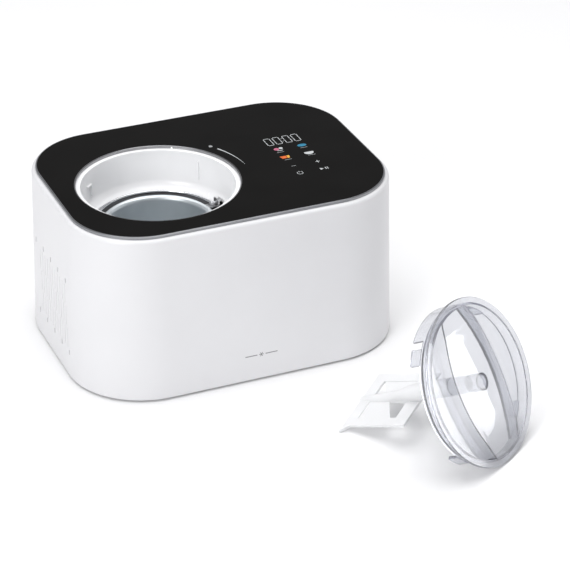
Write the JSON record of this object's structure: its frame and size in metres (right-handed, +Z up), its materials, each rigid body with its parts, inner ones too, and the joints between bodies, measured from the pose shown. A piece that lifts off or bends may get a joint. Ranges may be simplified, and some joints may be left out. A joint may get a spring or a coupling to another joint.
{
  "type": "ice cream maker",
  "caption": "Self-cooling tabletop ice cream maker: tapered white housing, black touch panel, round well with lift-out bowl; clear lid with its paddle stands beside it.",
  "frame": {"origin": "on the table surface, at the middle of the bounding box of the machine and the lid that stands in front of it", "axes": "+Z up; +Y from the machine's front to its back; +X to the right as seen from the front"},
  "size_m": [0.4496, 0.5862, 0.2083],
  "materials": {
    "white_shell": "satin-gloss moulded white plastic",
    "base_grey": "fine-textured moulded plastic",
    "rubber_black": "matt",
    "screw_steel": "zinc plated",
    "black_glass": "polished black panel",
    "trim_silver": "satin silver",
    "bezel_silver": "polished",
    "display_black": "smoked",
    "board_green": "solder mask",
    "spring_brass": "bright",
    "liner_white": "gloss white",
    "gasket_dark": "matt",
    "cup_aluminium": "drawn, satin",
    "copper_tube": "bright copper",
    "foam_cream": "cast foam",
    "bowl_metal": "satin anodised",
    "ear_steel": "polished",
    "wire_steel": "bright drawn wire",
    "bush_white": "acetal",
    "pin_steel": "ground",
    "bronze": "sintered",
    "coupler_black": "glass-filled nylon",
    "gear_nylon": "natural acetal",
    "case_black": "moulded",
    "motor_steel": "zinc plated",
    "magnet_grey": "ferrite",
    "armature": "laminated steel with enamelled wire",
    "compressor_black": "baked enamel",
    "plate_steel": "painted",
    "fin_aluminium": "mill finish",
    "fan_black": "moulded",
    "inlet_black": "moulded",
    "clear_lid": "clear polished plastic",
    "paddle_white": "satin white plastic"
  },
  "bodies": {
    "housing": {"outer_shell": "white_shell", "base_plate": "base_grey", "rubber_feet": "rubber_black", "base_screws": "screw_steel", "panel_glass": "black_glass", "panel_trim_ring": "trim_silver", "well_bezel": "bezel_silver", "display_module": "display_black", "touch_board": "board_green", "touch_springs": "spring_brass", "well_liner": "liner_white", "chamber_gasket": "gasket_dark", "evaporator_cup": "cup_aluminium", "evaporator_coil": "copper_tube", "foam_jacket": "foam_cream", "idler_pin": "pin_steel", "gearbox_tray": "case_black", "gearbox_cover": "case_black", "spindle_bush_lower": "bronze", "spindle_bush_upper": "bronze", "shaft_seal": "gasket_dark", "motor_can": "motor_steel", "motor_magnets": "magnet_grey", "compressor_shell": "compressor_black", "compressor_plate": "plate_steel", "compressor_grommets": "rubber_black", "compressor_studs": "screw_steel", "terminal_cover": "case_black", "condenser": "fin_aluminium", "fan_frame": "fan_black", "fan_axle": "pin_steel", "suction_line": "copper_tube", "capillary_tube": "copper_tube", "filter_drier": "copper_tube", "drier_line": "copper_tube", "discharge_line": "copper_tube", "power_board": "board_green", "board_bracket": "plate_steel", "mains_inlet": "inlet_black", "inlet_pins": "spring_brass", "lid_switch": "case_black"},
    "lid": {"lid_cover": "clear_lid", "lid_bush": "bush_white"},
    "paddle": {"paddle": "paddle_white"},
    "bowl": {"bowl": "bowl_metal", "handle_ears": "ear_steel", "bowl_bush": "bush_white"},
    "bail": {"bowl_handle": "wire_steel"},
    "bowl_drive": {"bowl_shaft": "pin_steel", "bowl_coupler": "coupler_black"},
    "spindle": {"drive_spindle": "pin_steel", "drive_gear": "gear_nylon", "drive_coupling": "coupler_black"},
    "idler": {"idler_gear": "gear_nylon"},
    "rotor": {"motor_shaft": "pin_steel", "motor_pinion": "bronze", "motor_armature": "armature"},
    "fan": {"fan_blades": "fan_black"},
    "plunger": {"lid_switch_plunger": "bush_white"}
  },
  "joints": [
    {"name": "lid_lift", "type": "slide", "parent": "housing", "child": "lid", "axis": [0, 0, 1], "range_m": [0, 0.22]},
    {"name": "paddle_spin", "type": "hinge", "parent": "lid", "child": "paddle", "pos_m": [0.14361, -0.22995, 0.0852], "axis": [0.5006, -0.737, 0.4541], "continuous": true},
    {"name": "bowl_lift", "type": "slide", "parent": "housing", "child": "bowl", "axis": [0, 0, 1], "range_m": [0, 0.18]},
    {"name": "bail_swing", "type": "hinge", "parent": "bowl", "child": "bail", "pos_m": [-0.09469, 0.12932, 0.1596], "axis": [0.9781, 0.2079, 0], "range_deg": [0, 180]},
    {"name": "bowl_drive_spin", "type": "hinge", "parent": "bowl", "child": "bowl_drive", "pos_m": [-0.09469, 0.12932, 0.04], "axis": [0, 0, 1], "continuous": true},
    {"name": "spindle_spin", "type": "hinge", "parent": "housing", "child": "spindle", "pos_m": [-0.09469, 0.12932, 0.02], "axis": [0, 0, 1], "continuous": true},
    {"name": "idler_spin", "type": "hinge", "parent": "housing", "child": "idler", "pos_m": [-0.04377, 0.18023, 0.013], "axis": [0, 0, 1], "continuous": true},
    {"name": "rotor_spin", "type": "hinge", "parent": "housing", "child": "rotor", "pos_m": [-0.01726, 0.20675, 0.04], "axis": [0, 0, 1], "continuous": true},
    {"name": "fan_spin", "type": "hinge", "parent": "housing", "child": "fan", "pos_m": [0.12276, 0.14445, 0.082], "axis": [1, 0, 0], "continuous": true},
    {"name": "switch_press", "type": "slide", "parent": "housing", "child": "plunger", "axis": [0, 0, 1], "range_m": [-0.002, 0], "stiffness_N_per_m": 150, "springref_m": 0.001}
  ],
  "couplings": [
    {"joint": "bowl_drive_spin", "follows": "spindle_spin", "ratio": 1},
    {"joint": "idler_spin", "follows": "spindle_spin", "ratio": -5},
    {"joint": "rotor_spin", "follows": "spindle_spin", "ratio": 20}
  ]
}
